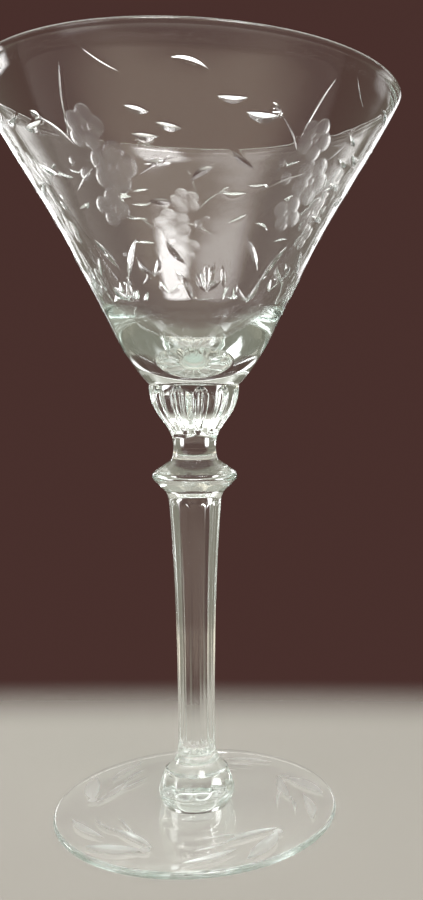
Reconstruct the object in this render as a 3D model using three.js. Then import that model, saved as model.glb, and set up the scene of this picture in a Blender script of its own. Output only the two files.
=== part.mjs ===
// Stemmed sherbet glass: a blown bowl, a pressed stem with panels and a flat foot.
// The three pieces are joined hot at two flat seats, foot to stem and stem to bowl.
// Millimetres, +Z up, origin at the middle of the foot's underside.

import * as THREE from 'three';

// Foot: a flat disc, a little thicker under the stem than at its rounded edge
const FOOT_DIAMETER = 66.6;
const FOOT_EDGE_THICKNESS = 1.5;
const FOOT_SEAT_THICKNESS = 2.1;

// Stem, base knop: a round girth that leaves the foot, sloping facets above it, then a flare to the column.
// A pull is how far along a curve's height or width its handle sits, as a share.
const BASE_SEAT_RADIUS = 7.9;
const BASE_GIRTH_RADIUS = 8.95;
const BASE_SHOULDER_RADIUS = 8.55;
const BASE_COLLAR_RADIUS = 7.55;
const BASE_GIRTH_HEIGHT = 4.9;
const BASE_FACET_HEIGHT = 3.2;
const BASE_FLARE_HEIGHT = 6.3;
const BASE_GIRTH_LOWER_PULL = 0.33;
const BASE_GIRTH_UPPER_PULL = 0.75;
const BASE_FLARE_INWARD_PULL = 0.6;
const BASE_FLARE_LOWER_PULL = 0.25;
const BASE_FLARE_UPPER_PULL = 0.5;
const BASE_FACET_DEPTH = 0.34;
const BASE_FACET_FADE = 1.6;
const BASE_FACET_RUNOUT = 0.5;

// Stem, column: slim at the bottom, widening faster and faster towards the top, fluted all round
const COLUMN_FOOT_RADIUS = 4.35;
const COLUMN_TOP_RADIUS = 6.1;
const COLUMN_LENGTH = 57.75;
const COLUMN_TAPER_POWER = 2.6;
const COLUMN_FLUTE_DEPTH = 0.26;
const COLUMN_FLUTE_ARCH = 1.6;
const COLUMN_FLUTE_FADE = 1.2;

// Stem, knop: a double cone with a rounded edge, over a small collar and under a narrow neck
const COLLAR_RADIUS = 6.87;
const COLLAR_HEIGHT = 2.35;
const KNOP_RADIUS = 9.9;
const KNOP_EDGE_RADIUS = 1.25;
const KNOP_LOWER_HEIGHT = 3.6;
const KNOP_UPPER_HEIGHT = 4.15;
const NECK_RADIUS = 4.93;
const NECK_LENGTH = 2.65;
const NECK_FILLET_SHARE = 0.2;

// Stem, cup: the calyx that carries the bowl, with a ring of arched flutes
const CUP_RADIUS = 10.44;
const CUP_HEIGHT = 14.25;
const CUP_NECK_PULL = 0.41;
const CUP_RIM_PULL = 0.53;
const CUP_FLUTE_START = 3.2;
const CUP_FLUTE_MARGIN = 0.5;
const CUP_FLUTE_DEPTH = 0.95;
const CUP_FLUTE_ARCH = 2.4;
const CUP_FLUTE_FADE = 2.4;

// Panels run round the whole stem, one of them facing -Y
const PANEL_COUNT = 12;
const STEPS_PER_PANEL = 4;

// Bowl: rounded bottom, a straight cone, and a flare that eases in towards the rim
const BOWL_SEAT_RADIUS = 10.2;
const BOWL_HEIGHT = 65.55;
const BOWL_SHOULDER_RADIUS = 17.6;
const BOWL_SHOULDER_HEIGHT = 10.75;
const BOWL_CONE_RADIUS = 45.3;
const BOWL_FLARE = 2.45;
const BOWL_FLARE_LENGTH = 36.0;
const BOWL_BOTTOM_SLOPE = 0.95;
const BOWL_WALL = 1.35;
const BOWL_FLOOR_THICKNESS = 4.5;
const BOWL_FLOOR_RADIUS = 9.0;
const BOWL_FLOOR_RISE = 14.0;
const BOWL_FLOOR_RUN_ON = 1.5;

// Steps round the plain pieces, and rings along each stretch of an outline
const ROUND_STEPS = 64;
const CURVE_STEPS = 8;
const FACET_STEPS = 4;
const COLUMN_STEPS = 9;
const COLUMN_FOOT_STEPS = 4;
const COLUMN_TOP_STEPS = 6;
const COLLAR_STEPS = 4;
const NECK_STEPS = 6;
const CUP_STEPS = 20;
const WALL_STEPS = 12;
const LIP_STEPS = 6;

const point = (radius, height) => new THREE.Vector2(radius, height);

// A smooth 0 to 1 step, flat at both ends
const ease = (t) => THREE.MathUtils.smoothstep(t, 0, 1);

// Points of a cubic curve after its start, so that stretches can be chained
const cubic = (start, controlA, controlB, end, steps) =>
  new THREE.CubicBezierCurve(start, controlA, controlB, end).getPoints(steps).slice(1);

const quadratic = (start, control, end, steps) =>
  new THREE.QuadraticBezierCurve(start, control, end).getPoints(steps).slice(1);

// Points of a round edge of one radius, from one direction to another about its centre
const arc = (centre, radius, fromAngle, toAngle, steps) =>
  new THREE.EllipseCurve(centre.x, centre.y, radius, radius, fromAngle, toAngle, toAngle < fromAngle)
    .getPoints(steps);

const steps = (count, valueAt) => Array.from({ length: count }, (_, i) => valueAt((i + 1) / count));

// Turns an outline of radius against height about Z, starting at -Y
function revolve(outline, aroundSteps) {
  const solid = new THREE.LatheGeometry(outline, aroundSteps);
  solid.rotateX(Math.PI / 2);
  return solid;
}

function clearGlass() {
  return new THREE.MeshStandardMaterial({
    color: 0xdfeae6,
    roughness: 0.04,
    metalness: 0,
    transparent: true,
    opacity: 0.35,
  });
}

function makeFoot() {
  const edge = FOOT_EDGE_THICKNESS / 2;
  const edgeCentre = point(FOOT_DIAMETER / 2 - edge, edge);
  const outline = [
    point(0, 0),
    ...arc(edgeCentre, edge, -Math.PI / 2, Math.PI / 2, CURVE_STEPS),
    point(BASE_SEAT_RADIUS, FOOT_SEAT_THICKNESS),
    point(0, FOOT_SEAT_THICKNESS),
  ];
  return revolve(outline, ROUND_STEPS);
}

// Heights of the stem's stations above its own seat on the foot
const shoulderHeight = BASE_GIRTH_HEIGHT;
const facetTop = shoulderHeight + BASE_FACET_HEIGHT;
const columnFoot = facetTop + BASE_FLARE_HEIGHT;
const columnTop = columnFoot + COLUMN_LENGTH;
const collarTop = columnTop + COLLAR_HEIGHT;
const knopEdge = collarTop + KNOP_LOWER_HEIGHT;
const knopTop = knopEdge + KNOP_UPPER_HEIGHT;
const neckTop = knopTop + NECK_LENGTH;
const stemHeight = neckTop + CUP_HEIGHT;

function baseOutline() {
  const seat = point(BASE_SEAT_RADIUS, 0);
  const shoulder = point(BASE_SHOULDER_RADIUS, shoulderHeight);
  const collar = point(BASE_COLLAR_RADIUS, facetTop);
  // Both controls share this radius, which brings the middle of the curve out to the girth
  const bulge = (8 * BASE_GIRTH_RADIUS - BASE_SEAT_RADIUS - BASE_SHOULDER_RADIUS) / 6;
  const columnStart = point(COLUMN_FOOT_RADIUS, columnFoot);
  const flareRadius = THREE.MathUtils.lerp(BASE_COLLAR_RADIUS, COLUMN_FOOT_RADIUS, BASE_FLARE_INWARD_PULL);
  return [
    seat,
    ...cubic(
      seat,
      point(bulge, BASE_GIRTH_HEIGHT * BASE_GIRTH_LOWER_PULL),
      point(bulge, BASE_GIRTH_HEIGHT * BASE_GIRTH_UPPER_PULL),
      shoulder,
      CURVE_STEPS,
    ),
    ...steps(FACET_STEPS, (t) => shoulder.clone().lerp(collar, t)),
    ...cubic(
      collar,
      point(flareRadius, facetTop + BASE_FLARE_HEIGHT * BASE_FLARE_LOWER_PULL),
      point(COLUMN_FOOT_RADIUS, columnFoot - BASE_FLARE_HEIGHT * BASE_FLARE_UPPER_PULL),
      columnStart,
      CURVE_STEPS,
    ),
  ];
}

// The column's rings are close together where its flutes start and end
function columnOutline() {
  const widening = COLUMN_TOP_RADIUS - COLUMN_FOOT_RADIUS;
  const radiusAt = (t) => COLUMN_FOOT_RADIUS + widening * t ** COLUMN_TAPER_POWER;
  const endShare = (2 * COLUMN_FLUTE_ARCH) / COLUMN_LENGTH;
  const shares = [
    ...steps(COLUMN_FOOT_STEPS, (t) => t * endShare),
    ...steps(COLUMN_STEPS, (t) => endShare + t * (1 - 2 * endShare)),
    ...steps(COLUMN_TOP_STEPS, (t) => 1 - endShare + t * endShare),
  ];
  return shares.map((t) => point(radiusAt(t), columnFoot + t * COLUMN_LENGTH));
}

// Two cones meet in a rounded edge: the arc is tangent to both and reaches the knop's radius
function knopOutline() {
  const columnEnd = point(COLUMN_TOP_RADIUS, columnTop);
  const collar = point(COLLAR_RADIUS, collarTop);
  const edgeCentre = point(KNOP_RADIUS - KNOP_EDGE_RADIUS, knopEdge);
  const lowerAngle = Math.atan2(collarTop - edgeCentre.y, COLLAR_RADIUS - edgeCentre.x);
  const lowerReach = edgeCentre.distanceTo(collar);
  const lowerTurn = lowerAngle + Math.acos(KNOP_EDGE_RADIUS / lowerReach);
  const neck = point(NECK_RADIUS, knopTop);
  const upperAngle = Math.atan2(knopTop - edgeCentre.y, NECK_RADIUS - edgeCentre.x);
  const upperReach = edgeCentre.distanceTo(neck);
  const upperTurn = upperAngle - Math.acos(KNOP_EDGE_RADIUS / upperReach);
  const edge = arc(edgeCentre, KNOP_EDGE_RADIUS, lowerTurn, upperTurn, CURVE_STEPS);
  const edgeEnd = edge[edge.length - 1];
  const coneEnd = edgeEnd.clone().lerp(neck, 1 - NECK_FILLET_SHARE);
  const collarHandle = point(COLUMN_TOP_RADIUS, (columnTop + collarTop) / 2);
  return [
    ...quadratic(columnEnd, collarHandle, collar, COLLAR_STEPS),
    ...edge,
    coneEnd,
    ...quadratic(coneEnd, neck, point(NECK_RADIUS, neckTop), NECK_STEPS),
  ];
}

// From the neck the cup swells out and turns upright at its rim
function cupOutline() {
  const neck = point(NECK_RADIUS, neckTop);
  const rim = point(CUP_RADIUS, stemHeight);
  return cubic(
    neck,
    point(NECK_RADIUS, neckTop + CUP_HEIGHT * CUP_NECK_PULL),
    point(CUP_RADIUS, neckTop + CUP_HEIGHT * (1 - CUP_RIM_PULL)),
    rim,
    CUP_STEPS,
  );
}

// Bands of panels up the stem. A band's ends are arched: they stand back towards each panel's sides.
const panelBands = [
  {
    bottom: shoulderHeight - BASE_FACET_FADE,
    top: facetTop + BASE_FACET_RUNOUT,
    depth: BASE_FACET_DEPTH,
    arch: 0,
    fade: BASE_FACET_FADE,
  },
  {
    bottom: columnFoot - COLUMN_FLUTE_ARCH,
    top: columnTop + COLUMN_FLUTE_ARCH / 2,
    depth: COLUMN_FLUTE_DEPTH,
    arch: COLUMN_FLUTE_ARCH,
    fade: COLUMN_FLUTE_FADE,
  },
  {
    bottom: neckTop + CUP_FLUTE_START,
    top: stemHeight - CUP_FLUTE_MARGIN,
    depth: CUP_FLUTE_DEPTH,
    arch: CUP_FLUTE_ARCH,
    fade: CUP_FLUTE_FADE,
  },
];

// How far the surface is pressed in at a height, and at a place across its panel from -1 to 1
function panelDepth(height, across) {
  const hollow = 1 - across * across;
  let depth = 0;
  for (const band of panelBands) {
    const standBack = band.arch * across * across;
    const fromBottom = (height - band.bottom - standBack) / band.fade;
    const fromTop = (band.top - standBack - height) / band.fade;
    depth += band.depth * hollow * ease(fromBottom) * ease(fromTop);
  }
  return depth;
}

// The stem is turned first, and then each panel is pressed into it
function makeStem() {
  const outline = [
    point(0, 0),
    ...baseOutline(),
    ...columnOutline(),
    ...knopOutline(),
    ...cupOutline(),
    point(0, stemHeight),
  ];
  const solid = revolve(outline, PANEL_COUNT * STEPS_PER_PANEL);
  const places = solid.getAttribute('position');
  for (let i = 0; i < places.count; i += 1) {
    const x = places.getX(i);
    const y = places.getY(i);
    const radius = Math.hypot(x, y);
    if (radius > 0) {
      const panels = (Math.atan2(x, -y) / (2 * Math.PI)) * PANEL_COUNT;
      const across = 2 * (panels - Math.round(panels));
      const pressed = (radius - panelDepth(places.getZ(i), across)) / radius;
      places.setXY(i, x * pressed, y * pressed);
    }
  }
  solid.computeVertexNormals();
  return solid;
}

// Outer radius of the bowl's side above its shoulder: a cone, plus the flare eased in over the last stretch
function bowlRadius(height) {
  const share = (height - BOWL_SHOULDER_HEIGHT) / (BOWL_HEIGHT - BOWL_SHOULDER_HEIGHT);
  const cone = BOWL_SHOULDER_RADIUS + (BOWL_CONE_RADIUS - BOWL_SHOULDER_RADIUS) * share;
  const flareStart = BOWL_HEIGHT - BOWL_FLARE_LENGTH;
  return cone + BOWL_FLARE * ease((height - flareStart) / BOWL_FLARE_LENGTH);
}

function makeBowl() {
  const seat = point(BOWL_SEAT_RADIUS, 0);
  const shoulder = point(BOWL_SHOULDER_RADIUS, BOWL_SHOULDER_HEIGHT);
  const lip = BOWL_WALL / 2;
  const lipHeight = BOWL_HEIGHT - lip;

  // The bottom curve leaves the seat at its own slope and meets the cone's slope at the shoulder
  const coneSlope = (BOWL_CONE_RADIUS - BOWL_SHOULDER_RADIUS) / (BOWL_HEIGHT - BOWL_SHOULDER_HEIGHT);
  const meetHeight =
    (BOWL_SHOULDER_RADIUS - coneSlope * BOWL_SHOULDER_HEIGHT - BOWL_SEAT_RADIUS) /
    (BOWL_BOTTOM_SLOPE - coneSlope);
  const meet = point(BOWL_SEAT_RADIUS + BOWL_BOTTOM_SLOPE * meetHeight, meetHeight);

  // The inside runs one wall within the outside, measured level, and runs on a little before it turns into the floor
  const floorEdgeHeight = BOWL_FLOOR_THICKNESS + BOWL_FLOOR_RISE;
  const floorEdge = point(bowlRadius(floorEdgeHeight) - BOWL_WALL, floorEdgeHeight);
  const runOn = point(floorEdge.x - coneSlope * BOWL_FLOOR_RUN_ON, floorEdgeHeight - BOWL_FLOOR_RUN_ON);
  const floorFlat = point(BOWL_FLOOR_RADIUS, BOWL_FLOOR_THICKNESS);
  const floorCentre = point(0, BOWL_FLOOR_THICKNESS);
  const sideHeight = (from, to, t) => from + (to - from) * t;
  const outerSide = steps(WALL_STEPS, (t) => {
    const height = sideHeight(BOWL_SHOULDER_HEIGHT, lipHeight, t);
    return point(bowlRadius(height), height);
  });
  const lipCentre = point(bowlRadius(lipHeight) - lip, lipHeight);
  const innerSide = steps(WALL_STEPS, (t) => {
    const height = sideHeight(lipHeight, floorEdgeHeight, t);
    return point(bowlRadius(height) - BOWL_WALL, height);
  });
  const outline = [
    point(0, 0),
    seat,
    ...quadratic(seat, meet, shoulder, CURVE_STEPS),
    ...outerSide,
    ...arc(lipCentre, lip, 0, Math.PI, LIP_STEPS).slice(1),
    ...innerSide,
    ...cubic(floorEdge, runOn, floorFlat, floorCentre, CURVE_STEPS),
  ];
  return revolve(outline, ROUND_STEPS);
}

function glassPiece(name, solid, seatHeight) {
  const piece = new THREE.Mesh(solid, clearGlass());
  piece.name = name;
  piece.position.z = seatHeight;
  return piece;
}

const sherbetGlass = new THREE.Group();
sherbetGlass.add(
  glassPiece('foot', makeFoot(), 0),
  glassPiece('stem', makeStem(), FOOT_SEAT_THICKNESS),
  glassPiece('bowl', makeBowl(), FOOT_SEAT_THICKNESS + stemHeight),
);

export default sherbetGlass;
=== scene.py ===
# %% [markdown]
# # A wheel-cut sherbet glass
# The real object is three gathers of glass joined hot: a blown bowl, a pressed stem and a flat foot.
# Clear glass has hardly any colour of its own, so a viewer reads it by what it bends: the shapes have to
# be right all the way round, inside and out. Each piece is therefore a closed surface worked out with
# numpy, and not a shell with a tint.

# %% The frame
import math

import bpy
import numpy as np
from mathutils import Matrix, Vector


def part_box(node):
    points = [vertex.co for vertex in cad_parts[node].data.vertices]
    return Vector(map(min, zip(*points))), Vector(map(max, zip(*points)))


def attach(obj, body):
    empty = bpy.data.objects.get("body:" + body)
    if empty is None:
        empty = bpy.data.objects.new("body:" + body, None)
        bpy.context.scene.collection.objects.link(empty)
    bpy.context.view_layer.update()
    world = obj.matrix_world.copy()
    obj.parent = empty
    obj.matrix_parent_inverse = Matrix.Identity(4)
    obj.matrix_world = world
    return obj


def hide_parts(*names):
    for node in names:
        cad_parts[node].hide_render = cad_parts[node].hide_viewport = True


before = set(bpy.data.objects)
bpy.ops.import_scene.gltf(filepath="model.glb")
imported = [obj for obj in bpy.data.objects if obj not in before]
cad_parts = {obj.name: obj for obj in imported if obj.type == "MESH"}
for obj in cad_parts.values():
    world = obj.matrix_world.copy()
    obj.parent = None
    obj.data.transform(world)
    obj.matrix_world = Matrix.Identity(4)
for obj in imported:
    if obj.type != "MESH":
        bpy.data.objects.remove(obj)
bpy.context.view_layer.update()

# %% [markdown]
# ## Sizes that come from the frame
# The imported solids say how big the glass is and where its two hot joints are. Each piece below starts and
# ends on these few lengths, so the dressed glass fills the same box as the solids that are simulated. The
# forms in between have sizes of their own.

# %% Sizes from the frame
MM = 0.001

foot_low, foot_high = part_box("foot")
stem_low, stem_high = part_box("stem")
bowl_low, bowl_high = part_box("bowl")

foot_radius = foot_high.x
cup_radius = stem_high.x
rim_radius = bowl_high.x
foot_joint = stem_low.z
bowl_joint = bowl_low.z
rim_height = bowl_high.z
print("joints at %.2f and %.2f mm, rim at %.2f mm" % (foot_joint / MM, bowl_joint / MM, rim_height / MM))

# %% [markdown]
# ## Curves for outlines
# A glassmaker thinks in outlines: radius against height. Straight stretches, arcs and Bezier curves are
# enough, each given as an array of (radius, height) points. They are chained end to end, and the shared
# end points are dropped.

# %% Outline helpers
def ease(t):
    """0 below t = 0, 1 above t = 1 and between them 3t^2 - 2t^3, which is flat at both ends."""
    t = np.clip(t, 0.0, 1.0)
    return t * t * (3.0 - 2.0 * t)


def bezier(handles, steps):
    """Points of a Bezier curve: the handles, each weighted by its Bernstein polynomial of t from 0 to 1."""
    handles = np.array(handles)
    t = np.linspace(0.0, 1.0, steps + 1)[:, None]
    order = len(handles) - 1
    return sum(
        math.comb(order, k) * t**k * (1.0 - t) ** (order - k) * handle for k, handle in enumerate(handles)
    )


def arc(centre, radius, start, end, steps):
    """Points at one distance from a centre, turning from one angle to another."""
    turn = np.linspace(start, end, steps + 1)
    return np.column_stack([centre[0] + radius * np.cos(turn), centre[1] + radius * np.sin(turn)])


def chain(*stretches):
    """Stretches joined end to end. Each starts where the last one ended, so its first point is left out."""
    return np.vstack([stretches[0]] + [stretch[1:] for stretch in stretches[1:]])


# %% [markdown]
# ## A closed turned surface
# All three pieces start from an outline that leaves the axis at the bottom and comes back to it at the
# top. Carried round the axis it closes by itself: one vertex at each pole, and a ring of vertices for
# every point between. The radius may change along a ring, which is how panels and cuts get in. Angles
# start at -Y, where the viewer stands.

# %% Mesh helper
SHARP_ANGLE = math.radians(50)


def ring_angles(columns):
    """Angles of a ring's vertices, once round, starting at -Y and turning towards +X."""
    return np.linspace(0.0, 2.0 * math.pi, columns, endpoint=False)


def turned_piece(name, radius, height, layers=None):
    """A mesh whose rings lie at radius[row, column] and height[row, column]. Point (r, a, z) is at
    (r sin a, -r cos a, z). The first and last rows are single points on the axis. Optional layers, each with
    one number or vector for every point, are kept as the mesh's own attributes for its material to read."""
    rows, columns = radius.shape
    angle = ring_angles(columns)
    rings = np.stack([radius * np.sin(angle), -radius * np.cos(angle), height], axis=-1)[1:-1]
    poles = np.array([[0.0, 0.0, height[0, 0]], [0.0, 0.0, height[-1, 0]]])
    points = np.vstack([rings.reshape(-1, 3), poles])
    low_pole, high_pole = len(points) - 2, len(points) - 1

    index = np.arange((rows - 2) * columns).reshape(rows - 2, columns)
    after = np.roll(index, -1, axis=1)
    quads = np.stack([index[:-1], after[:-1], after[1:], index[1:]], axis=-1).reshape(-1, 4)
    low_fan = np.stack([np.full(columns, low_pole), after[0], index[0]], axis=-1)
    high_fan = np.stack([np.full(columns, high_pole), index[-1], after[-1]], axis=-1)

    mesh = bpy.data.meshes.new(name)
    mesh.from_pydata(points, [], quads.tolist() + low_fan.tolist() + high_fan.tolist())
    for layer, values in (layers or {}).items():
        width = values.shape[2]
        flat = np.concatenate([values[1:-1].reshape(-1, width), values[0, :1], values[-1, :1]])
        kind, field = ("FLOAT", "value") if width == 1 else ("FLOAT_VECTOR", "vector")
        mesh.attributes.new(layer, kind, "POINT").data.foreach_set(field, flat.ravel().astype(np.float32))
    mesh.shade_smooth()
    mesh.set_sharp_from_angle(angle=SHARP_ANGLE)
    mesh.validate()
    piece = bpy.data.objects.new(name, mesh)
    bpy.context.scene.collection.objects.link(piece)
    print("%s: %d rings of %d, %d triangles" % (name, rows - 2, columns, 2 * len(quads) + 2 * columns))
    return piece


def dress(piece, node, material):
    """The piece stands for a CAD node, moves with the glass and wears a material."""
    piece.data.materials.append(material)
    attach(piece, "root")
    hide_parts(node)


# %% [markdown]
# ## What a cutting wheel leaves
# A flat wheel grinds petals as shallow matte dishes. A wheel with a mitred edge cuts leaves and stalks as
# sharp grooves with two sloping flanks. The bowl and the foot share both, so they are one node group. It
# is told how far inside a petal a point lies, and where the point lies on the nearest stroke, and it
# works out a roughness and a height from that, so an edge stays sharp however coarse the mesh is.

# %% Node group for wheel cuts
FLANK_SLOPE = 0.42
PETAL_STEP = 0.07
NEAR_STROKE = 0.35
STROKE_BLUR = 0.06
PETAL_BLUR = 0.12
PETAL_SHOULDER = 0.6
GROUP_INPUTS = {"Petal": "Float", "Near": "Float", "Stroke": "Vector", "Matte": "Float", "Keen": "Float"}


def calculate(tree, operation, *given):
    """A math node whose inputs are numbers or the outputs of other nodes."""
    node = tree.nodes.new("ShaderNodeMath")
    node.operation = operation
    for socket, value in zip(node.inputs, given):
        if isinstance(value, float):
            socket.default_value = value
        else:
            tree.links.new(value, socket)
    return node.outputs["Value"]


def stepped(tree, value, low, high):
    """A smooth step from 0 at low to 1 at high."""
    node = tree.nodes.new("ShaderNodeMapRange")
    node.interpolation_type = "SMOOTHSTEP"
    node.inputs["From Min"].default_value = low
    node.inputs["From Max"].default_value = high
    tree.links.new(value, node.inputs["Value"])
    return node.outputs["Result"]


def wheel_cut_group():
    """Millimetres in, and out come a roughness and a height in millimetres. A stroke's own coordinates are
    s along it, t across it and its half-width h. Inside it h x (1 - s^2 - |t|) is positive, and the groove
    is that times the flank's slope."""
    group = bpy.data.node_groups.new("wheel cuts", "ShaderNodeTree")
    for name, kind in GROUP_INPUTS.items():
        group.interface.new_socket(name, in_out="INPUT", socket_type="NodeSocket" + kind)
    for name in ("Roughness", "Height"):
        group.interface.new_socket(name, in_out="OUTPUT", socket_type="NodeSocketFloat")
    given = group.nodes.new("NodeGroupInput").outputs
    made = group.nodes.new("NodeGroupOutput").inputs
    stroke = group.nodes.new("ShaderNodeSeparateXYZ")
    group.links.new(given["Stroke"], stroke.inputs["Vector"])
    along, across, half = stroke.outputs
    belly = calculate(group, "SUBTRACT", 1.0, calculate(group, "MULTIPLY", along, along))
    room = calculate(group, "SUBTRACT", belly, calculate(group, "ABSOLUTE", across))
    inside = calculate(group, "MULTIPLY", half, room)
    close = calculate(group, "GREATER_THAN", given["Near"], -NEAR_STROKE)
    groove = calculate(group, "MULTIPLY", calculate(group, "MAXIMUM", inside, 0.0), close)
    stroke_mask = calculate(group, "MULTIPLY", stepped(group, inside, -STROKE_BLUR, STROKE_BLUR), close)
    petal_mask = stepped(group, given["Petal"], -PETAL_BLUR, PETAL_BLUR)
    rough = calculate(
        group,
        "MAXIMUM",
        calculate(group, "MULTIPLY", petal_mask, given["Matte"]),
        calculate(group, "MULTIPLY", stroke_mask, given["Keen"]),
    )
    dish = calculate(group, "MULTIPLY", stepped(group, given["Petal"], 0.0, PETAL_SHOULDER), -PETAL_STEP)
    height = calculate(group, "MULTIPLY_ADD", groove, -FLANK_SLOPE, dish)
    group.links.new(rough, made["Roughness"])
    group.links.new(height, made["Height"])
    return group


wheel_cuts = wheel_cut_group()
print("node group:", wheel_cuts.name, "with", len(wheel_cuts.nodes), "nodes")

# %% [markdown]
# ## The glass itself
# One colourless glass with a faint green in the thick, from the iron in its sand. Tint belongs in the
# depth and not on the skin, so it is a volume absorption: thin walls stay clear and long paths, as in the
# foot's edge, go green. Hand-worked glass is never quite flat either, so a slow bump bends reflections a
# little.

# %% Glass materials
GLASS_INDEX = 1.52
GLASS_TINT = (0.62, 0.93, 0.84, 1.0)
TINT_PER_METRE = 5.5
SHADOW_TINT = (0.95, 0.96, 0.955, 1.0)
CUT_LAYERS = (("petal", "Fac", "Petal"), ("near", "Fac", "Near"), ("stroke", "Vector", "Stroke"))


def glass_material(name, wave_scale, wave_height, cut=None):
    """Clear glass with slow waves. wave_scale is waves per metre along x, y and z. With a cut, which gives
    the roughness of petals (matte) and strokes (keen) and how strongly they stand out (relief), the mesh's
    layers also draw its wheel cuts. Shadow rays pass straight through, so the shadow stays pale."""
    material = bpy.data.materials.new(name)
    material.use_nodes = True
    tree = material.node_tree
    nodes, links = tree.nodes, tree.links
    skin = nodes["Principled BSDF"]
    skin.inputs["Base Color"].default_value = (1.0, 1.0, 1.0, 1.0)
    skin.inputs["Roughness"].default_value = 0.0
    skin.inputs["IOR"].default_value = GLASS_INDEX
    skin.inputs["Transmission Weight"].default_value = 1.0
    depth = nodes.new("ShaderNodeVolumeAbsorption")
    depth.inputs["Color"].default_value = GLASS_TINT
    depth.inputs["Density"].default_value = TINT_PER_METRE
    links.new(depth.outputs["Volume"], nodes["Material Output"].inputs["Volume"])
    path = nodes.new("ShaderNodeLightPath")
    clear = nodes.new("ShaderNodeBsdfTransparent")
    clear.inputs["Color"].default_value = SHADOW_TINT
    either = nodes.new("ShaderNodeMixShader")
    links.new(path.outputs["Is Shadow Ray"], either.inputs["Fac"])
    links.new(skin.outputs["BSDF"], either.inputs[1])
    links.new(clear.outputs["BSDF"], either.inputs[2])
    links.new(either.outputs["Shader"], nodes["Material Output"].inputs["Surface"])

    place = nodes.new("ShaderNodeTexCoord")
    stretch = nodes.new("ShaderNodeVectorMath")
    stretch.operation = "MULTIPLY"
    stretch.inputs[1].default_value = wave_scale
    wave = nodes.new("ShaderNodeTexNoise")
    wave.inputs["Scale"].default_value = 1.0
    wave.inputs["Detail"].default_value = 1.0
    bump = nodes.new("ShaderNodeBump")
    bump.inputs["Distance"].default_value = wave_height
    links.new(place.outputs["Object"], stretch.inputs[0])
    links.new(stretch.outputs["Vector"], wave.inputs["Vector"])
    links.new(wave.outputs["Fac"], bump.inputs["Height"])
    links.new(bump.outputs["Normal"], skin.inputs["Normal"])
    if cut:
        cuts = nodes.new("ShaderNodeGroup")
        cuts.node_tree = wheel_cuts
        cuts.inputs["Matte"].default_value = cut["matte"]
        cuts.inputs["Keen"].default_value = cut["keen"]
        for layer, output, socket in CUT_LAYERS:
            read = nodes.new("ShaderNodeAttribute")
            read.attribute_name = layer
            links.new(read.outputs[output], cuts.inputs[socket])
        carve = nodes.new("ShaderNodeBump")
        carve.inputs["Distance"].default_value = cut["relief"] * MM
        links.new(bump.outputs["Normal"], carve.inputs["Normal"])
        links.new(cuts.outputs["Height"], carve.inputs["Height"])
        links.new(carve.outputs["Normal"], skin.inputs["Normal"])
        links.new(cuts.outputs["Roughness"], skin.inputs["Roughness"])
    return material


pressed_glass = glass_material("pressed glass", wave_scale=(90.0, 90.0, 90.0), wave_height=0.05 * MM)
blown_glass = glass_material(
    "blown glass with cuts",
    wave_scale=(60.0, 60.0, 200.0),
    wave_height=0.06 * MM,
    cut=dict(matte=0.27, keen=0.12, relief=1.0),
)
foot_glass = glass_material(
    "foot glass with cuts",
    wave_scale=(60.0, 60.0, 60.0),
    wave_height=0.05 * MM,
    cut=dict(matte=0.30, keen=0.35, relief=0.2),
)
print("materials:", [m.name for m in (pressed_glass, blown_glass, foot_glass)])

# %% [markdown]
# ## The stem
# The stem is pressed in a mould as one solid, and its outline comes first, from the foot up. Its base is a
# round girth with a ring of sloping facets above it, and then a flare into the slim column. A pull is how
# far along a curve's height or width its handle sits, as a share.

# %% Stem base
SEAT_RADIUS = 7.9 * MM
GIRTH_RADIUS = 8.95 * MM
SHOULDER_RADIUS = 8.55 * MM
FACET_TOP_RADIUS = 7.55 * MM
COLUMN_FOOT_RADIUS = 4.35 * MM
GIRTH_HEIGHT = 4.9 * MM
FACET_HEIGHT = 3.2 * MM
FLARE_HEIGHT = 6.3 * MM
GIRTH_LOWER_PULL = 0.33
GIRTH_UPPER_PULL = 0.75
FLARE_INWARD_PULL = 0.6
FLARE_LOWER_PULL = 0.25
FLARE_UPPER_PULL = 0.5

shoulder = foot_joint + GIRTH_HEIGHT
facet_top = shoulder + FACET_HEIGHT
column_foot = facet_top + FLARE_HEIGHT


def base_outline():
    """Girth curve, straight facets, then a flare. The girth's two handles share the radius that brings the
    middle of the curve out to the girth: (8 girth - seat - shoulder) / 6."""
    bulge = (8 * GIRTH_RADIUS - SEAT_RADIUS - SHOULDER_RADIUS) / 6
    girth = bezier(
        [
            (SEAT_RADIUS, foot_joint),
            (bulge, foot_joint + GIRTH_LOWER_PULL * GIRTH_HEIGHT),
            (bulge, foot_joint + GIRTH_UPPER_PULL * GIRTH_HEIGHT),
            (SHOULDER_RADIUS, shoulder),
        ],
        steps=22,
    )
    facets = bezier([(SHOULDER_RADIUS, shoulder), (FACET_TOP_RADIUS, facet_top)], steps=12)
    turn = FACET_TOP_RADIUS + FLARE_INWARD_PULL * (COLUMN_FOOT_RADIUS - FACET_TOP_RADIUS)
    flare = bezier(
        [
            (FACET_TOP_RADIUS, facet_top),
            (turn, facet_top + FLARE_LOWER_PULL * FLARE_HEIGHT),
            (COLUMN_FOOT_RADIUS, column_foot - FLARE_UPPER_PULL * FLARE_HEIGHT),
            (COLUMN_FOOT_RADIUS, column_foot),
        ],
        steps=26,
    )
    return chain(girth, facets, flare)


base_line = base_outline()
print("base: %d points, up to %.2f mm" % (len(base_line), column_foot / MM))

# %% [markdown]
# The column widens slowly and then faster towards its top. Above it stands the knop, a double cone with a
# rounded edge, between a small collar and a narrow neck. A press leaves no sharp corner at the neck, so the
# upper cone bends into it.

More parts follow.
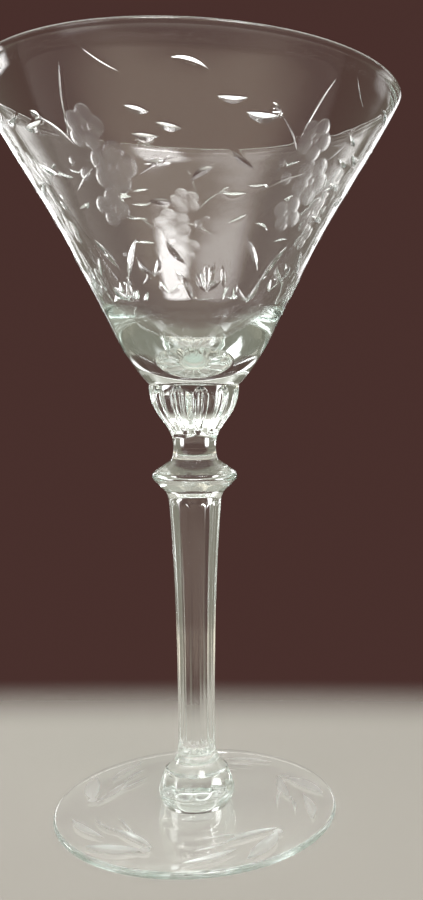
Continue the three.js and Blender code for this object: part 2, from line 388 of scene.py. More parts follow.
# %% Stem column and knop
COLUMN_LENGTH = 57.75 * MM
COLUMN_TOP_RADIUS = 6.1 * MM
COLUMN_TAPER_POWER = 2.6
COLLAR_RADIUS = 6.87 * MM
COLLAR_HEIGHT = 2.35 * MM
COLLAR_PULL = 0.5
KNOP_RADIUS = 9.9 * MM
KNOP_EDGE_RADIUS = 1.25 * MM
KNOP_LOWER_HEIGHT = 3.6 * MM
KNOP_UPPER_HEIGHT = 4.15 * MM
NECK_RADIUS = 4.93 * MM
NECK_LENGTH = 2.65 * MM
NECK_FILLET_SHARE = 0.2

column_top = column_foot + COLUMN_LENGTH
collar_top = column_top + COLLAR_HEIGHT
knop_edge = collar_top + KNOP_LOWER_HEIGHT
knop_top = knop_edge + KNOP_UPPER_HEIGHT
neck_top = knop_top + NECK_LENGTH


def column_outline():
    """Radius = foot radius + widening x t^power, t from 0 to 1, with rings closer at both ends."""
    t = 0.5 - 0.5 * np.cos(np.linspace(0.0, math.pi, num=61))
    widening = COLUMN_TOP_RADIUS - COLUMN_FOOT_RADIUS
    return np.column_stack(
        [COLUMN_FOOT_RADIUS + widening * t**COLUMN_TAPER_POWER, column_foot + t * COLUMN_LENGTH]
    )


def knop_outline():
    """A collar, two cones and the rounded edge between them: the arc is tangent to both cones."""
    centre = np.array([KNOP_RADIUS - KNOP_EDGE_RADIUS, knop_edge])
    collar_end = np.array([COLLAR_RADIUS, collar_top])
    neck_end = np.array([NECK_RADIUS, knop_top])
    to_collar, to_neck = collar_end - centre, neck_end - centre
    lower = math.atan2(to_collar[1], to_collar[0]) + math.acos(KNOP_EDGE_RADIUS / np.hypot(*to_collar))
    upper = math.atan2(to_neck[1], to_neck[0]) - math.acos(KNOP_EDGE_RADIUS / np.hypot(*to_neck))
    collar_turn = (COLUMN_TOP_RADIUS, column_top + COLLAR_PULL * COLLAR_HEIGHT)
    collar = bezier([(COLUMN_TOP_RADIUS, column_top), collar_turn, collar_end], steps=10)
    edge = arc(centre, KNOP_EDGE_RADIUS, lower, upper, steps=18)
    cone_end = edge[-1] + (1.0 - NECK_FILLET_SHARE) * (neck_end - edge[-1])
    return chain(
        collar,
        bezier([collar_end, edge[0]], steps=8),
        edge,
        bezier([edge[-1], cone_end], steps=8),
        bezier([cone_end, neck_end, (NECK_RADIUS, neck_top)], steps=18),
    )


column_line = column_outline()
knop_line = knop_outline()
print("column and knop: %d points, up to %.2f mm" % (len(column_line) + len(knop_line), neck_top / MM))

# %% [markdown]
# The cup swells out from the neck and carries the bowl. Glass that is joined hot is one glass, so the stem's
# flat ends sink a hair into the foot and the bowl and leave no film of air.

# %% Stem cup and whole outline
CUP_NECK_PULL = 0.41
CUP_RIM_PULL = 0.53
JOINT_SINK = 0.05 * MM
SEAT_RING_SHARE = 0.6

cup_height = bowl_joint - neck_top


def cup_outline():
    """From the neck the cup swells out and turns upright at its rim."""
    return bezier(
        [
            (NECK_RADIUS, neck_top),
            (NECK_RADIUS, neck_top + CUP_NECK_PULL * cup_height),
            (cup_radius, bowl_joint - CUP_RIM_PULL * cup_height),
            (cup_radius, bowl_joint),
        ],
        steps=64,
    )


def seat(radius, height):
    """A flat end, from the axis out to a radius, with one ring on the way."""
    return np.array([(share * radius, height) for share in (0.0, SEAT_RING_SHARE, 1.0)])


stem_line = np.vstack(
    [
        seat(SEAT_RADIUS, foot_joint - JOINT_SINK),
        chain(base_line, column_line, knop_line, cup_outline()),
        seat(cup_radius, bowl_joint + JOINT_SINK)[::-1],
    ]
)
print("stem outline: %d points, %.2f mm tall" % (len(stem_line), np.ptp(stem_line[:, 1]) / MM))

# %% [markdown]
# The mould then presses twelve panels into the turned form: flat facets round the base, hollow flutes up
# the column and deeper ones round the cup. A panel is deepest in its middle and its ends are arched, so
# the depth is a product of three smooth terms, worked out for every point at once.

# %% Stem panels
PANELS = 12
COLUMNS_PER_PANEL = 16
PANEL_BANDS = (
    dict(
        low=shoulder - 1.6 * MM,
        high=facet_top + 0.5 * MM,
        depth=0.34 * MM,
        arch=0.0,
        fade=1.6 * MM,
        width=1.0,
    ),
    dict(
        low=column_foot - 1.6 * MM,
        high=column_top + 0.8 * MM,
        depth=0.26 * MM,
        arch=1.6 * MM,
        fade=1.2 * MM,
        width=1.0,
    ),
    dict(
        low=neck_top + 3.0 * MM,
        high=bowl_joint - 0.3 * MM,
        depth=0.95 * MM,
        arch=3.0 * MM,
        fade=0.9 * MM,
        width=0.58,
    ),
)


def panel_depth(height, across):
    """Sum over the bands of depth x (1 - (across / width)^2), where that is positive, x ease in from the low
    end x ease out to the high end. across runs from -1 to 1 over a panel, and width is the share of it that
    is hollow. Both ends stand back by arch x across^2."""
    pressed = np.zeros(np.broadcast(height, across).shape)
    for band in PANEL_BANDS:
        stand_back = band["arch"] * across**2
        rising = ease((height - band["low"] - stand_back) / band["fade"])
        falling = ease((band["high"] - stand_back - height) / band["fade"])
        hollow = np.clip(1.0 - (across / band["width"]) ** 2, 0.0, None)
        pressed += band["depth"] * hollow * rising * falling
    return pressed


stem_angle = ring_angles(PANELS * COLUMNS_PER_PANEL)
stem_panels = stem_angle / (2.0 * math.pi) * PANELS
stem_across = 2.0 * (stem_panels - np.round(stem_panels))
stem_height = np.repeat(stem_line[:, 1:], len(stem_angle), axis=1)
stem_pressed = np.where(stem_line[:, :1] > 0.0, panel_depth(stem_height, stem_across[None, :]), 0.0)
stem = turned_piece("pressed_stem", stem_line[:, :1] - stem_pressed, stem_height)
dress(stem, "stem", pressed_glass)
print("deepest panel: %.2f mm" % (stem_pressed.max() / MM))

# %% [markdown]
# ## Cuts in flat patterns
# The decoration is traditional wheel cutting: round petals, leaves, stalks and dots. Each cut is laid out
# on the unrolled surface, x round the glass and y up it. Petals only need one number, how far inside the
# nearest petal a point lies. A stroke is narrower than a few cells of the mesh, so its own coordinates
# are kept instead: they are smooth across it, where a distance would have a ridge.

# %% Cut shapes
FAR_AWAY = -20.0 * MM
PETAL_DEPTH = 0.10 * MM
PETAL_SLOPE = 1.2 * MM
GROOVE_DEPTH = 0.10 * MM
GROOVE_SPREAD = 0.35 * MM
GROOVE_REACH = 0.9 * MM


def round_cut(x, y, radius):
    """How far inside a disc a point lies: the radius less the distance from the middle."""
    return radius - np.hypot(x, y)


def stroke_cut(x, y, end, width, bow):
    """A pointed stroke from the origin to end. s runs from -1 to 1 along it and t from -1 to 1 across its
    width. Its middle line bows sideways by bow x (1 - s^2), and its edges are where |t| = 1 - s^2. Gives how
    far inside it a point lies, and s, t and the half-width in millimetres."""
    length = math.hypot(*end)
    half = 0.5 * width
    s = 2.0 * (x * end[0] + y * end[1]) / length**2 - 1.0
    belly = 1.0 - s**2
    aside = (y * end[0] - x * end[1]) / length - bow * np.clip(belly, 0.0, None)
    beyond = 0.5 * length * np.clip(np.abs(s) - 1.0, 0.0, None)
    inside = np.where(beyond > 0.0, -np.hypot(aside, beyond), half * belly - np.abs(aside))
    return inside, np.stack([s, aside / half, np.full(s.shape, half / MM)], axis=-1)


def nearest_stroke(strokes):
    """For every point, the stroke that it lies deepest inside, or the closest one where it lies in none."""
    inside, place = strokes[0]
    for other_inside, other_place in strokes[1:]:
        closer = other_inside > inside
        inside = np.where(closer, other_inside, inside)
        place = np.where(closer[..., None], other_place, place)
    return inside, place


def hollow(petal, near):
    """Depth of the hollows: a petal's dish eases in from its edge, and a groove from a little outside it."""
    dish = PETAL_DEPTH * ease(petal / PETAL_SLOPE)
    groove = GROOVE_DEPTH * ease((near + GROOVE_SPREAD) / (GROOVE_REACH + GROOVE_SPREAD))
    return np.maximum(dish, groove)


def cut_layers(shape, rows, petal, near, place):
    """The layers of a whole piece, in millimetres: no cut anywhere but in the given rows."""
    layers = {
        "petal": np.full(shape + (1,), FAR_AWAY / MM),
        "near": np.full(shape + (1,), FAR_AWAY / MM),
        "stroke": np.zeros(shape + (3,)),
    }
    layers["petal"][rows] = petal[..., None] / MM
    layers["near"][rows] = near[..., None] / MM
    layers["stroke"][rows] = place
    return layers


# %% [markdown]
# ## The bowl
# The bowl is blown: a thin wall with a rounded bottom, a straight cone and a slight flare up to a
# fire-polished rim. Its outline goes up the outside, over the lip and down the inside. The glass gathers
# at the bottom, and the inside is rounded there: it works as a lens, which shows the ring of flutes below
# it as a star. The rings are close together over the band that carries the cuts and further apart
# elsewhere.

# %% Bowl outline
BOWL_SEAT_RADIUS = 10.2 * MM
BOWL_SHOULDER_RADIUS = 17.6 * MM
BOWL_SHOULDER_RISE = 10.75 * MM
BOWL_FLARE = 2.45 * MM
BOWL_FLARE_LENGTH = 36.0 * MM
BOWL_BOTTOM_SLOPE = 0.95
WALL = 1.35 * MM
BOWL_FLOOR_THICKNESS = 4.5 * MM
BOWL_FLOOR_RADIUS = 9.0 * MM
BOWL_FLOOR_RISE = 14.0 * MM
BOWL_FLOOR_RUN_ON = 1.5 * MM
CUT_BAND = (116.0 * MM, 164.0 * MM)
CUT_RING_SPACING = 0.41 * MM
BOWL_COLUMNS = 540

bowl_shoulder = bowl_joint + BOWL_SHOULDER_RISE
lip_height = rim_height - 0.5 * WALL
flare_start = rim_height - BOWL_FLARE_LENGTH


def flare_at(height):
    """The flare's share of the radius at a height."""
    return BOWL_FLARE * ease((height - flare_start) / BOWL_FLARE_LENGTH)


cone_slope = (rim_radius - flare_at(lip_height) - BOWL_SHOULDER_RADIUS) / (lip_height - bowl_shoulder)


def bowl_radius(height):
    """Outer radius above the shoulder: a straight cone plus the flare."""
    return BOWL_SHOULDER_RADIUS + cone_slope * (height - bowl_shoulder) + flare_at(height)


def bowl_outline():
    """Underside, rounded bottom, outer wall, lip, inner wall and floor, as one line from axis to axis."""
    meet_rise = (BOWL_SHOULDER_RADIUS - cone_slope * BOWL_SHOULDER_RISE - BOWL_SEAT_RADIUS) / (
        BOWL_BOTTOM_SLOPE - cone_slope
    )
    meet = (BOWL_SEAT_RADIUS + BOWL_BOTTOM_SLOPE * meet_rise, bowl_joint + meet_rise)
    bottom = bezier([(BOWL_SEAT_RADIUS, bowl_joint), meet, (BOWL_SHOULDER_RADIUS, bowl_shoulder)], steps=12)
    cut_rings = int(round((CUT_BAND[1] - CUT_BAND[0]) / CUT_RING_SPACING))
    heights = np.concatenate(
        [
            np.linspace(bowl_shoulder, CUT_BAND[0], 5)[:-1],
            np.linspace(CUT_BAND[0], CUT_BAND[1], cut_rings + 1),
            np.linspace(CUT_BAND[1], lip_height, 4)[1:],
        ]
    )
    outer = np.column_stack([bowl_radius(heights), heights])
    lip = arc((rim_radius - 0.5 * WALL, lip_height), 0.5 * WALL, 0.0, math.pi, steps=12)
    floor_edge = bowl_joint + BOWL_FLOOR_THICKNESS + BOWL_FLOOR_RISE
    inner_heights = np.linspace(lip_height, floor_edge, 13)
    inner = np.column_stack([bowl_radius(inner_heights) - WALL, inner_heights])
    floor = bowl_joint + BOWL_FLOOR_THICKNESS
    run_on = inner[-1] - BOWL_FLOOR_RUN_ON * np.array([cone_slope, 1.0])
    inside = bezier([inner[-1], run_on, (BOWL_FLOOR_RADIUS, floor), (0.0, floor)], steps=24)
    under = bezier([(0.0, bowl_joint), (BOWL_SEAT_RADIUS, bowl_joint)], steps=3)
    return chain(under, bottom, outer, lip, inner, inside), len(under) + len(bottom) - 2, len(heights)


bowl_line, wall_start, wall_rings = bowl_outline()
print("bowl outline: %d points, cone slope %.3f" % (len(bowl_line), cone_slope))

# %% [markdown]
# One spray of the pattern is written once and repeated five times round the bowl. Places are (degrees
# round from the flower, millimetres above the foot's underside), read as a cutter would mark them out on
# the glass. A leaf or a stalk has a start, an end, a width and a bow, and a dot a place and a radius, all
# in millimetres.

# %% Bowl pattern
BOWL_FLOWERS = (
    dict(at=(1.2, 143.6), petals=5, reach=2.9, petal=2.3, heart=1.0),
    dict(at=(-4.5, 150.6), petals=5, reach=2.5, petal=2.0, heart=0.9),
    dict(at=(-4.0, 136.8), petals=4, reach=2.1, petal=1.9, heart=0.8),
)
BOWL_DOTS = ((-10.5, 143.0, 1.4), (58.0, 145.6, 0.9), (30.0, 133.5, 0.9))
BOWL_LEAVES = (
    ((9.5, 153.4), (16.0, 152.2), 1.3, -0.3),
    ((9.8, 148.9), (18.0, 148.3), 1.3, -0.4),
    ((17.5, 150.6), (25.0, 149.6), 1.4, -0.4),
    ((23.0, 160.5), (32.0, 158.9), 1.2, 0.4),
    ((34.3, 155.0), (42.6, 155.2), 1.3, -0.6),
    ((42.6, 152.9), (52.6, 153.1), 1.9, -0.8),
    ((49.6, 155.0), (53.0, 153.4), 0.9, 0.2),
    ((12.4, 144.2), (21.2, 143.8), 1.2, 0.0),
    ((11.5, 137.5), (20.6, 137.3), 1.3, 0.0),
    ((27.0, 141.0), (35.0, 143.5), 1.4, 0.4),
    ((40.0, 146.5), (48.0, 144.0), 1.4, -0.4),
)
BOWL_STALKS = (
    ((53.0, 153.4), (61.5, 148.0), 0.55, 0.5),
    ((54.0, 140.4), (70.0, 144.6), 0.5, 0.3),
    ((10.0, 142.1), (22.0, 144.9), 0.5, 0.3),
    ((66.7, 161.0), (62.0, 150.0), 0.5, -0.5),
    ((2.0, 162.5), (10.0, 158.5), 0.35, -0.4),
    ((51.7, 131.5), (60.7, 125.3), 1.3, 0.3),
    ((51.5, 122.3), (60.2, 119.3), 1.3, -0.75),
    ((60.2, 119.3), (63.8, 123.2), 1.3, -0.45),
    ((64.5, 122.8), (76.0, 131.0), 1.3, 0.45),
    ((73.0, 127.0), (80.2, 124.0), 1.3, -0.75),
    ((80.2, 124.0), (83.8, 127.4), 1.3, -0.45),
    ((41.9, 126.0), (44.2, 121.4), 1.3, 0.0),
    ((35.0, 120.6), (29.0, 124.4), 1.3, 0.3),
    ((35.0, 120.6), (41.8, 122.6), 1.3, 0.3),
    ((35.0, 120.6), (33.4, 126.0), 1.3, 0.0),
    ((35.0, 120.6), (38.4, 126.4), 1.3, 0.0),
    ((22.0, 124.0), (27.0, 118.6), 1.3, 0.3),
    ((16.0, 130.5), (24.0, 126.0), 1.3, -0.45),
)
print("one spray:", len(BOWL_FLOWERS), "flowers,", len(BOWL_LEAVES), "leaves,", len(BOWL_STALKS), "stalks")

# %% [markdown]
# The pattern is then laid round the wall. A flower is a heart with a ring of petals, each a plain disc.
# The hollows go straight into the wall, at right angles to its slope, so they bend light as cut glass
# does, and the layers that the material reads are kept with the mesh.

# %% Bowl with its cuts
BOWL_REPEATS = 5
BOWL_TURN = math.radians(-36.0)
FLOWER_TURN = 0.2
SLANT = math.hypot(1.0, cone_slope)


def bowl_cuts(angle, height):
    """Petals and strokes of the whole pattern. A cut's own x is radius x angle from its place, and its y is
    the way up the slanting wall."""
    step = 2.0 * math.pi / BOWL_REPEATS

    def flat(place):
        turn = angle - BOWL_TURN - math.radians(place[0])
        turn = (turn + 0.5 * step) % step - 0.5 * step
        return bowl_radius(height) * turn, (height - place[1] * MM) * SLANT

    def span(start, end):
        middle = 0.5 * (start[1] + end[1]) * MM
        return bowl_radius(middle) * math.radians(end[0] - start[0]), (end[1] - start[1]) * MM * SLANT

    petals = [round_cut(*flat((degrees, up)), radius * MM) for degrees, up, radius in BOWL_DOTS]
    for flower in BOWL_FLOWERS:
        x, y = flat(flower["at"])
        reach, petal = flower["reach"] * MM, flower["petal"] * MM
        petals.append(round_cut(x, y, flower["heart"] * MM))
        for k in range(flower["petals"]):
            turn = 2.0 * math.pi * (k / flower["petals"] + FLOWER_TURN)
            petals.append(round_cut(x - reach * math.cos(turn), y - reach * math.sin(turn), petal))
    strokes = [
        stroke_cut(*flat(start), span(start, end), width * MM, bow * MM)
        for start, end, width, bow in BOWL_LEAVES + BOWL_STALKS
    ]
    return np.maximum.reduce(petals), *nearest_stroke(strokes)


bowl_angle = ring_angles(BOWL_COLUMNS)
bowl_r = np.repeat(bowl_line[:, :1], BOWL_COLUMNS, axis=1)
bowl_z = np.repeat(bowl_line[:, 1:], BOWL_COLUMNS, axis=1)
wall = slice(wall_start, wall_start + wall_rings)
bowl_petal, bowl_near, bowl_place = bowl_cuts(bowl_angle[None, :], bowl_z[wall])
bowl_hollow = hollow(bowl_petal, bowl_near)
bowl_layers = cut_layers(bowl_r.shape, wall, bowl_petal, bowl_near, bowl_place)
bowl_r[wall] -= bowl_hollow / SLANT
bowl_z[wall] += bowl_hollow * cone_slope / SLANT
bowl = turned_piece("cut_bowl", bowl_r, bowl_z, bowl_layers)
dress(bowl, "bowl", blown_glass)
print("cut share of the wall: %.3f" % (bowl_hollow > 0.0).mean())
print("deepest hollow: %.2f mm" % (bowl_hollow.max() / MM))

# %% [markdown]
# ## The foot
# The foot is a flat disc, a little thicker under the stem, with a rounded edge. Leaves, stalks and dots
# are cut into its upper side in the same hand as the bowl, so it uses the same cut shapes on a grid of
# rings. Places are millimetres from the axis, to the right and away from the viewer.

# %% Foot
FOOT_EDGE_THICKNESS = 1.5 * MM
FOOT_COLUMNS = 480
FOOT_REPEATS = 5
FOOT_LEAVES = (
    ((-14.2, -20.7), (-26.6, -15.2), 3.6, 0.6),
    ((-12.5, -20.5), (-20.0, -9.5), 2.2, -0.5),
    ((25.5, -2.9), (24.4, -15.8), 2.2, 0.8),
    ((-18.9, -4.5), (-15.5, -16.3), 0.7, 0.4),
    ((22.3, -4.0), (21.4, -11.3), 0.7, 0.3),
)
FOOT_DOTS = ((-24.1, 7.1, 1.2),)


def foot_outline():
    """Flat underside, half-round edge, gently rising top, flat seat under the stem."""
    edge = 0.5 * FOOT_EDGE_THICKNESS
    edge_centre = (foot_radius - edge, edge)
    under = bezier([(0.0, 0.0), (foot_radius - edge, 0.0)], steps=6)
    rim = arc(edge_centre, edge, -0.5 * math.pi, 0.5 * math.pi, steps=12)
    top = bezier([rim[-1], (SEAT_RADIUS, foot_joint)], steps=64)
    middle = bezier([(SEAT_RADIUS, foot_joint), (0.0, foot_joint)], steps=4)
    return chain(under, rim, top, middle), len(under) + len(rim) - 2, len(top)


def foot_cuts(x, y):
    """Petals and strokes of the foot's pattern: each is made once a repeat, turned about the axis."""
    petals, strokes = [], []
    for k in range(FOOT_REPEATS):
        turn = 2.0 * math.pi * k / FOOT_REPEATS
        turned_x = math.cos(turn) * x + math.sin(turn) * y
        turned_y = math.cos(turn) * y - math.sin(turn) * x
        for start, end, width, bow in FOOT_LEAVES:
            way = ((end[0] - start[0]) * MM, (end[1] - start[1]) * MM)
            strokes.append(
                stroke_cut(turned_x - start[0] * MM, turned_y - start[1] * MM, way, width * MM, bow * MM)
            )
        for across, along, radius in FOOT_DOTS:
            petals.append(round_cut(turned_x - across * MM, turned_y - along * MM, radius * MM))
    return np.maximum.reduce(petals), *nearest_stroke(strokes)


foot_line, top_start, top_rings = foot_outline()
foot_angle = ring_angles(FOOT_COLUMNS)
foot_r = np.repeat(foot_line[:, :1], FOOT_COLUMNS, axis=1)
foot_z = np.repeat(foot_line[:, 1:], FOOT_COLUMNS, axis=1)
top = slice(top_start, top_start + top_rings)
foot_x = foot_r[top] * np.sin(foot_angle)
foot_y = -foot_r[top] * np.cos(foot_angle)
foot_petal, foot_near, foot_place = foot_cuts(foot_x, foot_y)
foot_hollow = hollow(foot_petal, foot_near)
foot_layers = cut_layers(foot_r.shape, top, foot_petal, foot_near, foot_place)
foot_z[top] -= foot_hollow
foot = turned_piece("cut_foot", foot_r, foot_z, foot_layers)
dress(foot, "foot", foot_glass)
print("cut share of the foot: %.3f" % (foot_hollow > 0.0).mean())

# %% [markdown]
# ## The camera
# The photograph's own camera was solved from the ellipses of the rim and the foot: it stands close, level
# with the top of the stem's cup, and the picture is a crop from a wider one, so its axis lies right of
# the middle. That crop is the camera's shift. The camera is turned a few degrees round the glass so that
# the stem's panels line up.

# %% Camera
PICTURE_WIDTH, PICTURE_HEIGHT = 423, 900
AXIS_COLUMN = 318.0
FOCAL_PIXELS = 931.9
SENSOR = 36.0
EYE_DISTANCE = 219.4 * MM
EYE_HEIGHT = 101.12 * MM
EYE_AZIMUTH = math.radians(-8.0)
EYE_YAW, EYE_PITCH, EYE_ROLL = -0.1318, -0.0684, 0.0024
NEAREST = 0.01


def aim(yaw, pitch, roll):
    """Right, up and backward directions as columns: yaw about Z, then pitch about X, then a roll."""
    forward = np.array([-math.sin(yaw) * math.cos(pitch), math.cos(yaw) * math.cos(pitch), math.sin(pitch)])
    level = np.array([math.cos(yaw), math.sin(yaw), 0.0])
    upright = np.cross(level, forward)
    right = math.cos(roll) * level + math.sin(roll) * upright
    up = math.cos(roll) * upright - math.sin(roll) * level
    return np.column_stack([right, up, -forward])


camera_data = bpy.data.cameras.new("camera")
camera_data.sensor_width = SENSOR
camera_data.lens = SENSOR * FOCAL_PIXELS / PICTURE_HEIGHT
camera_data.shift_x = (0.5 * PICTURE_WIDTH - AXIS_COLUMN) / PICTURE_HEIGHT
camera_data.clip_start = NEAREST
camera = bpy.data.objects.new("camera", camera_data)
bpy.context.scene.collection.objects.link(camera)
pose = np.eye(4)
view_turn = EYE_AZIMUTH + EYE_YAW
pose[:3, :3] = aim(view_turn, EYE_PITCH, EYE_ROLL)
pose[:3, 3] = EYE_DISTANCE * math.sin(EYE_AZIMUTH), -EYE_DISTANCE * math.cos(EYE_AZIMUTH), EYE_HEIGHT
camera.matrix_world = pose.T
bpy.context.scene.camera = camera
print("lens %.2f mm, shift %.4f" % (camera_data.lens, camera_data.shift_x))

# %% [markdown]
# ## The floor
# The glass stands on a plain pale floor. Behind the glass it gives way to the backdrop, along a level
# edge, so the floor's material thins out to nothing with the distance from a point in front of the glass.
# The distance is stretched sideways, as the camera sees it, which makes the edge level.

# %% Floor
FLOOR_SIZE = 0.8
FLOOR_DROP = 0.1 * MM
FLOOR_COLOUR = (0.42, 0.40, 0.37, 1.0)
FLOOR_ROUGHNESS = 0.85
FLOOR_MIDDLE = 0.12
FLOOR_SPREAD = (3.3, 1.0, 1.0)
FADE_START, FADE_END = 0.17, 0.22


def floor_material():
    """Pale and matte round the glass, thinning to nothing close behind it and further off elsewhere."""
    material = bpy.data.materials.new("pale floor")
    material.use_nodes = True
    nodes, links = material.node_tree.nodes, material.node_tree.links
    skin = nodes["Principled BSDF"]
    skin.inputs["Base Color"].default_value = FLOOR_COLOUR
    skin.inputs["Roughness"].default_value = FLOOR_ROUGHNESS
    place = nodes.new("ShaderNodeTexCoord")
    spread = nodes.new("ShaderNodeMapping")
    spread.vector_type = "TEXTURE"
    middle = (FLOOR_MIDDLE * math.sin(view_turn), -FLOOR_MIDDLE * math.cos(view_turn), 0.0)
    spread.inputs["Location"].default_value = middle
    spread.inputs["Rotation"].default_value = (0.0, 0.0, view_turn)
    spread.inputs["Scale"].default_value = FLOOR_SPREAD
    away = nodes.new("ShaderNodeVectorMath")
    away.operation = "LENGTH"
    thin = nodes.new("ShaderNodeMapRange")
    thin.interpolation_type = "SMOOTHSTEP"
    thin.inputs["From Min"].default_value = FADE_START
    thin.inputs["From Max"].default_value = FADE_END
    thin.inputs["To Min"].default_value = 1.0
    thin.inputs["To Max"].default_value = 0.0
    links.new(place.outputs["Object"], spread.inputs["Vector"])
    links.new(spread.outputs["Vector"], away.inputs[0])
    links.new(away.outputs["Value"], thin.inputs["Value"])
    links.new(thin.outputs["Result"], skin.inputs["Alpha"])
    return material


floor_mesh = bpy.data.meshes.new("floor")
corners = np.array([(-1, -1, 0), (1, -1, 0), (1, 1, 0), (-1, 1, 0)]) * FLOOR_SIZE
floor_mesh.from_pydata(corners - np.array([0.0, 0.0, FLOOR_DROP]), [], [(0, 1, 2, 3)])
floor_mesh.materials.append(floor_material())
floor = bpy.data.objects.new("floor", floor_mesh)
bpy.context.scene.collection.objects.link(floor)
print("floor: %.1f m wide, %.1f mm under the foot" % (2.0 * FLOOR_SIZE, FLOOR_DROP / MM))

# %% [markdown]
# ## The room
# Clear glass shows its surroundings, bent, so these are half of how it looks. It shows best against a
# plain tone that is darker than its own glints. The world is therefore dark behind the glass, where the
# camera looks, paler at the sides and in front, and bright overhead, all in soft steps that depend on the
# direction only.

# %% World
BACKDROP = (0.066, 0.030, 0.026, 1.0)
SIDES = (0.20, 0.19, 0.15, 1.0)
FRONT = (0.45, 0.43, 0.37, 1.0)
CEILING = (0.63, 0.61, 0.54, 1.0)
BACK_AZIMUTH = math.radians(9.0)
BACK_ELEVATION = math.radians(2.0)
BACK_START, BACK_END = 0.83, 0.912
FRONT_START, FRONT_END = 0.10, 0.85
CEILING_START, CEILING_END = 0.40, 0.54


def backdrop_world():
    """Dark behind the glass, paler at its sides, paler still in front of it and bright overhead. The share
    of a colour eases in with how far a direction points that way."""
    room = bpy.data.worlds.new("backdrop")
    room.use_nodes = True
    tree = room.node_tree
    way = tree.nodes.new("ShaderNodeTexCoord")

    def share(axis, low, high):
        along = tree.nodes.new("ShaderNodeVectorMath")
        along.operation = "DOT_PRODUCT"
        along.inputs[1].default_value = axis
        tree.links.new(way.outputs["Generated"], along.inputs[0])
        return stepped(tree, along.outputs["Value"], low, high)

    def blended(first, second, factor):
        mix = tree.nodes.new("ShaderNodeMix")
        mix.data_type = "RGBA"
        sockets = {socket.identifier: socket for socket in (*mix.inputs, *mix.outputs)}
        if isinstance(first, tuple):
            sockets["A_Color"].default_value = first
        else:
            tree.links.new(first, sockets["A_Color"])
        sockets["B_Color"].default_value = second
        tree.links.new(factor, sockets["Factor_Float"])
        return sockets["Result_Color"]

    level = math.cos(BACK_ELEVATION)
    back = (level * math.sin(BACK_AZIMUTH), level * math.cos(BACK_AZIMUTH), math.sin(BACK_ELEVATION))
    front = (-math.sin(BACK_AZIMUTH), -math.cos(BACK_AZIMUTH), 0.0)
    whole = blended(SIDES, FRONT, share(front, FRONT_START, FRONT_END))
    whole = blended(whole, BACKDROP, share(back, BACK_START, BACK_END))
    whole = blended(whole, CEILING, share((0.0, 0.0, 1.0), CEILING_START, CEILING_END))
    tree.links.new(whole, tree.nodes["Background"].inputs["Color"])
    return room


bpy.context.scene.world = backdrop_world()
print("world:", bpy.context.scene.world.name)

# %% [markdown]
# ## A soft lamp
# A photographer lights glass with soft boxes: large panels whose edges fade, because a hard edge would
# draw a hard line on the glass. Each panel here is a rectangular lamp whose strength falls off towards
# its rim.

# %% Soft lamp
PANEL_BLUR = 0.35
WHITE = (1.0, 1.0, 1.0)


def soften(lamp_data):
    """Strength fades towards a panel's edges: for each of its two coordinates, 0 to 1 across it, the
    distance from the middle is turned into 1 inside and 0 at the edge, and the two are multiplied."""
    lamp_data.use_nodes = True
    nodes, links = lamp_data.node_tree.nodes, lamp_data.node_tree.links
    spot = nodes.new("ShaderNodeNewGeometry")
    centred = nodes.new("ShaderNodeVectorMath")
    centred.operation = "SUBTRACT"
    centred.inputs[1].default_value = (0.5, 0.5, 0.0)
    size = nodes.new("ShaderNodeVectorMath")
    size.operation = "ABSOLUTE"
    parts = nodes.new("ShaderNodeSeparateXYZ")
    both = nodes.new("ShaderNodeMath")
    both.operation = "MULTIPLY"
    links.new(spot.outputs["Parametric"], centred.inputs[0])
    links.new(centred.outputs["Vector"], size.inputs[0])
    links.new(size.outputs["Vector"], parts.inputs["Vector"])
    for k, axis in enumerate("XY"):
        fade = nodes.new("ShaderNodeMapRange")
        fade.interpolation_type = "SMOOTHSTEP"
        fade.inputs["From Min"].default_value = 0.5 - PANEL_BLUR
        fade.inputs["From Max"].default_value = 0.5
        fade.inputs["To Min"].default_value = 1.0
        fade.inputs["To Max"].default_value = 0.0
        links.new(parts.outputs[axis], fade.inputs["Value"])
        links.new(fade.outputs["Result"], both.inputs[k])
    links.new(both.outputs["Value"], nodes["Emission"].inputs["Strength"])


def lamp_at(name, size, glow, turned, spot, colour=WHITE):
    """A rectangular lamp at a spot, with its axes in the columns of a matrix. One of glow L and area A gives
    out pi L A watts."""
    data = bpy.data.lights.new(name, "AREA")
    data.color = colour
    data.shape = "RECTANGLE"
    data.size, data.size_y = size
    data.energy = math.pi * size[0] * size[1] * glow
    soften(data)
    lamp = bpy.data.objects.new(name, data)
    bpy.context.scene.collection.objects.link(lamp)
    lamp.visible_camera = False
    placed = np.eye(4)
    placed[:3, :3] = turned
    placed[:3, 3] = spot
    lamp.matrix_world = placed.T


# %% [markdown]
# ## Where the lamps stand
# Two windows above draw the streaks down the bowl. Narrow strips just outside the picture light up its
# edges, which show what lies a little to the side of straight behind. The panels further round brighten
# the stem. A warm, dim card lies low in front of the glass and shines up, and lights the stem's flutes and
# the bottom of the bowl from below.

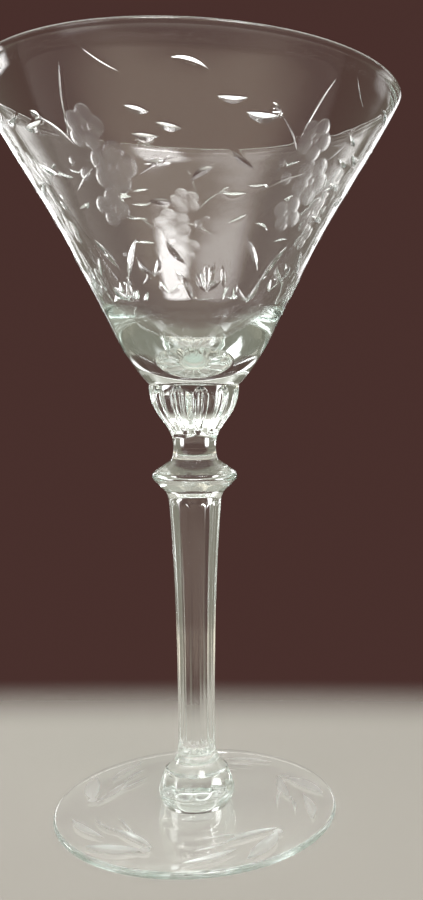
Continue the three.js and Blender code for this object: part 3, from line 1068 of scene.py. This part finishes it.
# %% Lamps
AIM_HEIGHT_SHARE = 0.75
PANEL_DISTANCE = 0.8
SOFT_PANELS = (
    dict(name="bright window", azimuth=24.0, elevation=62.0, size=(0.38, 0.34), glow=15.0),
    dict(name="pale window", azimuth=-50.0, elevation=63.0, size=(0.66, 0.40), glow=2.4),
    dict(name="back light", azimuth=172.0, elevation=42.0, size=(0.9, 0.3), glow=3.4),
    dict(name="right strip", azimuth=146.0, elevation=7.0, size=(0.18, 0.44), glow=2.2),
    dict(name="left strip", azimuth=-163.0, elevation=7.0, size=(0.18, 0.44), glow=4.1),
    dict(name="left front", azimuth=-60.0, elevation=10.0, size=(0.50, 0.50), glow=2.4),
    dict(name="left back", azimuth=-120.0, elevation=5.0, size=(0.25, 0.30), glow=9.5),
    dict(name="right back", azimuth=112.5, elevation=14.0, size=(0.30, 0.60), glow=1.2),
)
CARD_AZIMUTH = math.radians(-9.0)
CARD_DISTANCE = 0.17
CARD_HEIGHT = 2.0 * MM
CARD_SIZE = (0.70, 0.22)
CARD_GLOW = 0.95
CARD_COLOUR = (1.0, 0.87, 0.68)


def soft_panel(name, azimuth, elevation, size, glow):
    """A lamp on a sphere round the glass, facing it. Azimuth 0 is -Y, the viewer's side."""
    turn, rise = math.radians(azimuth), math.radians(elevation)
    out = np.array([math.sin(turn) * math.cos(rise), -math.cos(turn) * math.cos(rise), math.sin(rise)])
    centre = np.array([0.0, 0.0, AIM_HEIGHT_SHARE * rim_height])
    lamp_at(name, size, glow, aim(turn, -rise, 0.0), centre + PANEL_DISTANCE * out)


def low_card():
    """A lamp that lies low in front of the glass and shines straight up. It is aimed as a camera is, because
    a lamp shines the way a camera looks."""
    spot = (CARD_DISTANCE * math.sin(CARD_AZIMUTH), -CARD_DISTANCE * math.cos(CARD_AZIMUTH), CARD_HEIGHT)
    lamp_at("low card", CARD_SIZE, CARD_GLOW, aim(CARD_AZIMUTH, math.pi / 2.0, 0.0), spot, CARD_COLOUR)


for panel in SOFT_PANELS:
    soft_panel(**panel)
low_card()
print("lamps:", len(SOFT_PANELS) + 1)

# %% [markdown]
# ## Long paths of light
# Light that enters the edge of the foot is turned back from face to face a dozen times or more before it
# leaves at the other side, and in the knops it goes round in the same way. Paths that are cut short come
# out black, which is why solid glass often looks smoky. Here they may be long, and the edges get the pale
# green of thick glass.

# %% Light paths
LONGEST_PATH = 40

paths = bpy.context.scene.cycles
paths.max_bounces = LONGEST_PATH
paths.transmission_bounces = LONGEST_PATH
paths.glossy_bounces = LONGEST_PATH
print("longest path of light:", LONGEST_PATH, "turns")

# %% [markdown]
# ## Colour
# The Standard view shows a colour about as it is written.

# %% Finish
bpy.context.scene.view_settings.view_transform = "Standard"
